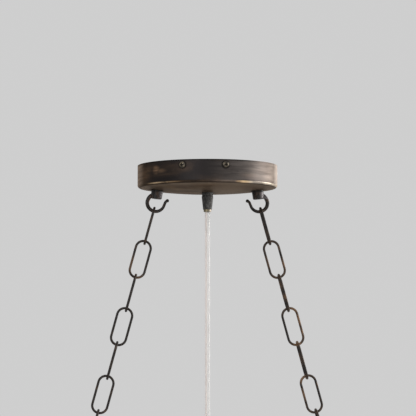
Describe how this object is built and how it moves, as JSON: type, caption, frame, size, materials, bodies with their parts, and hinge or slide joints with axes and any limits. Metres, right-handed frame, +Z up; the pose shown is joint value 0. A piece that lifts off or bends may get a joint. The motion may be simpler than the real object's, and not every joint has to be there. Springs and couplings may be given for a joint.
{
  "type": "chandelier ceiling canopy with chains",
  "caption": "Round ceiling canopy in dark rubbed bronze with open hooks, two chains of long oval links spread outward and a clear twin lamp cord in a black grip, to hang a light body",
  "frame": {"origin": "centre of the ceiling plane, on the canopy's axis at its rim", "axes": "+Z up into the ceiling, hooks on the X axis, -Y the side seen in the picture"},
  "size_m": [0.2584, 0.1538, 0.3106],
  "materials": {
    "bronze_sheet": "rubbed satin",
    "cast_bronze": "dark satin",
    "chain_bronze": "rubbed satin",
    "worn_screw": "worn",
    "zinc_steel": "zinc plated",
    "black_grip": "satin",
    "brass_ring": "satin",
    "clear_cord": "clear",
    "connector_plastic": "moulded",
    "earth_green": "lacquered"
  },
  "bodies": {
    "root": {"canopy": "bronze_sheet", "mounting_bracket": "zinc_steel", "canopy_screws": "worn_screw", "hook_left": "cast_bronze", "hook_right": "cast_bronze", "hook_washers": "zinc_steel", "hook_lock_washers": "zinc_steel", "hook_nuts": "zinc_steel", "cord_grip": "black_grip", "grip_ferrule": "brass_ring", "grip_nipple": "zinc_steel", "grip_washer": "zinc_steel", "grip_locknut": "zinc_steel", "cord": "clear_cord", "cord_tail": "clear_cord", "lead_copper": "clear_cord", "lead_silver": "clear_cord", "wire_connectors": "connector_plastic", "ground_screw": "earth_green", "lower_cord_grip": "black_grip", "lower_grip_ferrule": "brass_ring", "lower_nipple": "zinc_steel", "cord_end": "clear_cord"},
    "chain_link_left_1": {"chain_link_left_1": "chain_bronze"},
    "chain_link_left_2": {"chain_link_left_2": "chain_bronze"},
    "chain_link_left_3": {"chain_link_left_3": "chain_bronze"},
    "chain_link_left_4": {"chain_link_left_4": "chain_bronze"},
    "chain_link_left_5": {"chain_link_left_5": "chain_bronze"},
    "chain_link_left_6": {"chain_link_left_6": "chain_bronze"},
    "chain_link_left_7": {"chain_link_left_7": "chain_bronze"},
    "chain_link_right_1": {"chain_link_right_1": "chain_bronze"},
    "chain_link_right_2": {"chain_link_right_2": "chain_bronze"},
    "chain_link_right_3": {"chain_link_right_3": "chain_bronze"},
    "chain_link_right_4": {"chain_link_right_4": "chain_bronze"},
    "chain_link_right_5": {"chain_link_right_5": "chain_bronze"},
    "chain_link_right_6": {"chain_link_right_6": "chain_bronze"},
    "chain_link_right_7": {"chain_link_right_7": "chain_bronze"}
  },
  "joints": [
    {"name": "left_link_1_swing", "type": "hinge", "parent": "root", "child": "chain_link_left_1", "pos_m": [-0.05624, 0, -0.04027], "axis": [0, 1, 0], "range_deg": [-25, 30]},
    {"name": "left_link_2_swing", "type": "hinge", "parent": "chain_link_left_1", "child": "chain_link_left_2", "pos_m": [-0.06764, 0, -0.08209], "axis": [0.9648, 0, -0.263], "range_deg": [-60, 60]},
    {"name": "left_link_3_swing", "type": "hinge", "parent": "chain_link_left_2", "child": "chain_link_left_3", "pos_m": [-0.07755, 0, -0.11847], "axis": [0, -1, 0], "range_deg": [-60, 30]},
    {"name": "left_link_4_swing", "type": "hinge", "parent": "chain_link_left_3", "child": "chain_link_left_4", "pos_m": [-0.08747, 0, -0.15484], "axis": [-0.9648, 0, 0.263], "range_deg": [-60, 60]},
    {"name": "left_link_5_swing", "type": "hinge", "parent": "chain_link_left_4", "child": "chain_link_left_5", "pos_m": [-0.09739, 0, -0.19121], "axis": [0, 1, 0], "range_deg": [-55, 60]},
    {"name": "left_link_6_swing", "type": "hinge", "parent": "chain_link_left_5", "child": "chain_link_left_6", "pos_m": [-0.1073, 0, -0.22758], "axis": [0.9648, 0, -0.263], "range_deg": [-60, 60]},
    {"name": "left_link_7_swing", "type": "hinge", "parent": "chain_link_left_6", "child": "chain_link_left_7", "pos_m": [-0.11722, 0, -0.26395], "axis": [0, -1, 0], "range_deg": [-60, 60]},
    {"name": "right_link_1_swing", "type": "hinge", "parent": "root", "child": "chain_link_right_1", "pos_m": [0.05624, 0, -0.04027], "axis": [0, -1, 0], "range_deg": [-25, 30]},
    {"name": "right_link_2_swing", "type": "hinge", "parent": "chain_link_right_1", "child": "chain_link_right_2", "pos_m": [0.06764, 0, -0.08209], "axis": [0.9648, 0, 0.263], "range_deg": [-60, 60]},
    {"name": "right_link_3_swing", "type": "hinge", "parent": "chain_link_right_2", "child": "chain_link_right_3", "pos_m": [0.07755, 0, -0.11847], "axis": [0, 1, 0], "range_deg": [-60, 30]},
    {"name": "right_link_4_swing", "type": "hinge", "parent": "chain_link_right_3", "child": "chain_link_right_4", "pos_m": [0.08747, 0, -0.15484], "axis": [-0.9648, 0, -0.263], "range_deg": [-60, 60]},
    {"name": "right_link_5_swing", "type": "hinge", "parent": "chain_link_right_4", "child": "chain_link_right_5", "pos_m": [0.09739, 0, -0.19121], "axis": [0, -1, 0], "range_deg": [-55, 60]},
    {"name": "right_link_6_swing", "type": "hinge", "parent": "chain_link_right_5", "child": "chain_link_right_6", "pos_m": [0.1073, 0, -0.22758], "axis": [0.9648, 0, 0.263], "range_deg": [-60, 60]},
    {"name": "right_link_7_swing", "type": "hinge", "parent": "chain_link_right_6", "child": "chain_link_right_7", "pos_m": [0.11722, 0, -0.26395], "axis": [0, 1, 0], "range_deg": [-60, 60]}
  ]
}
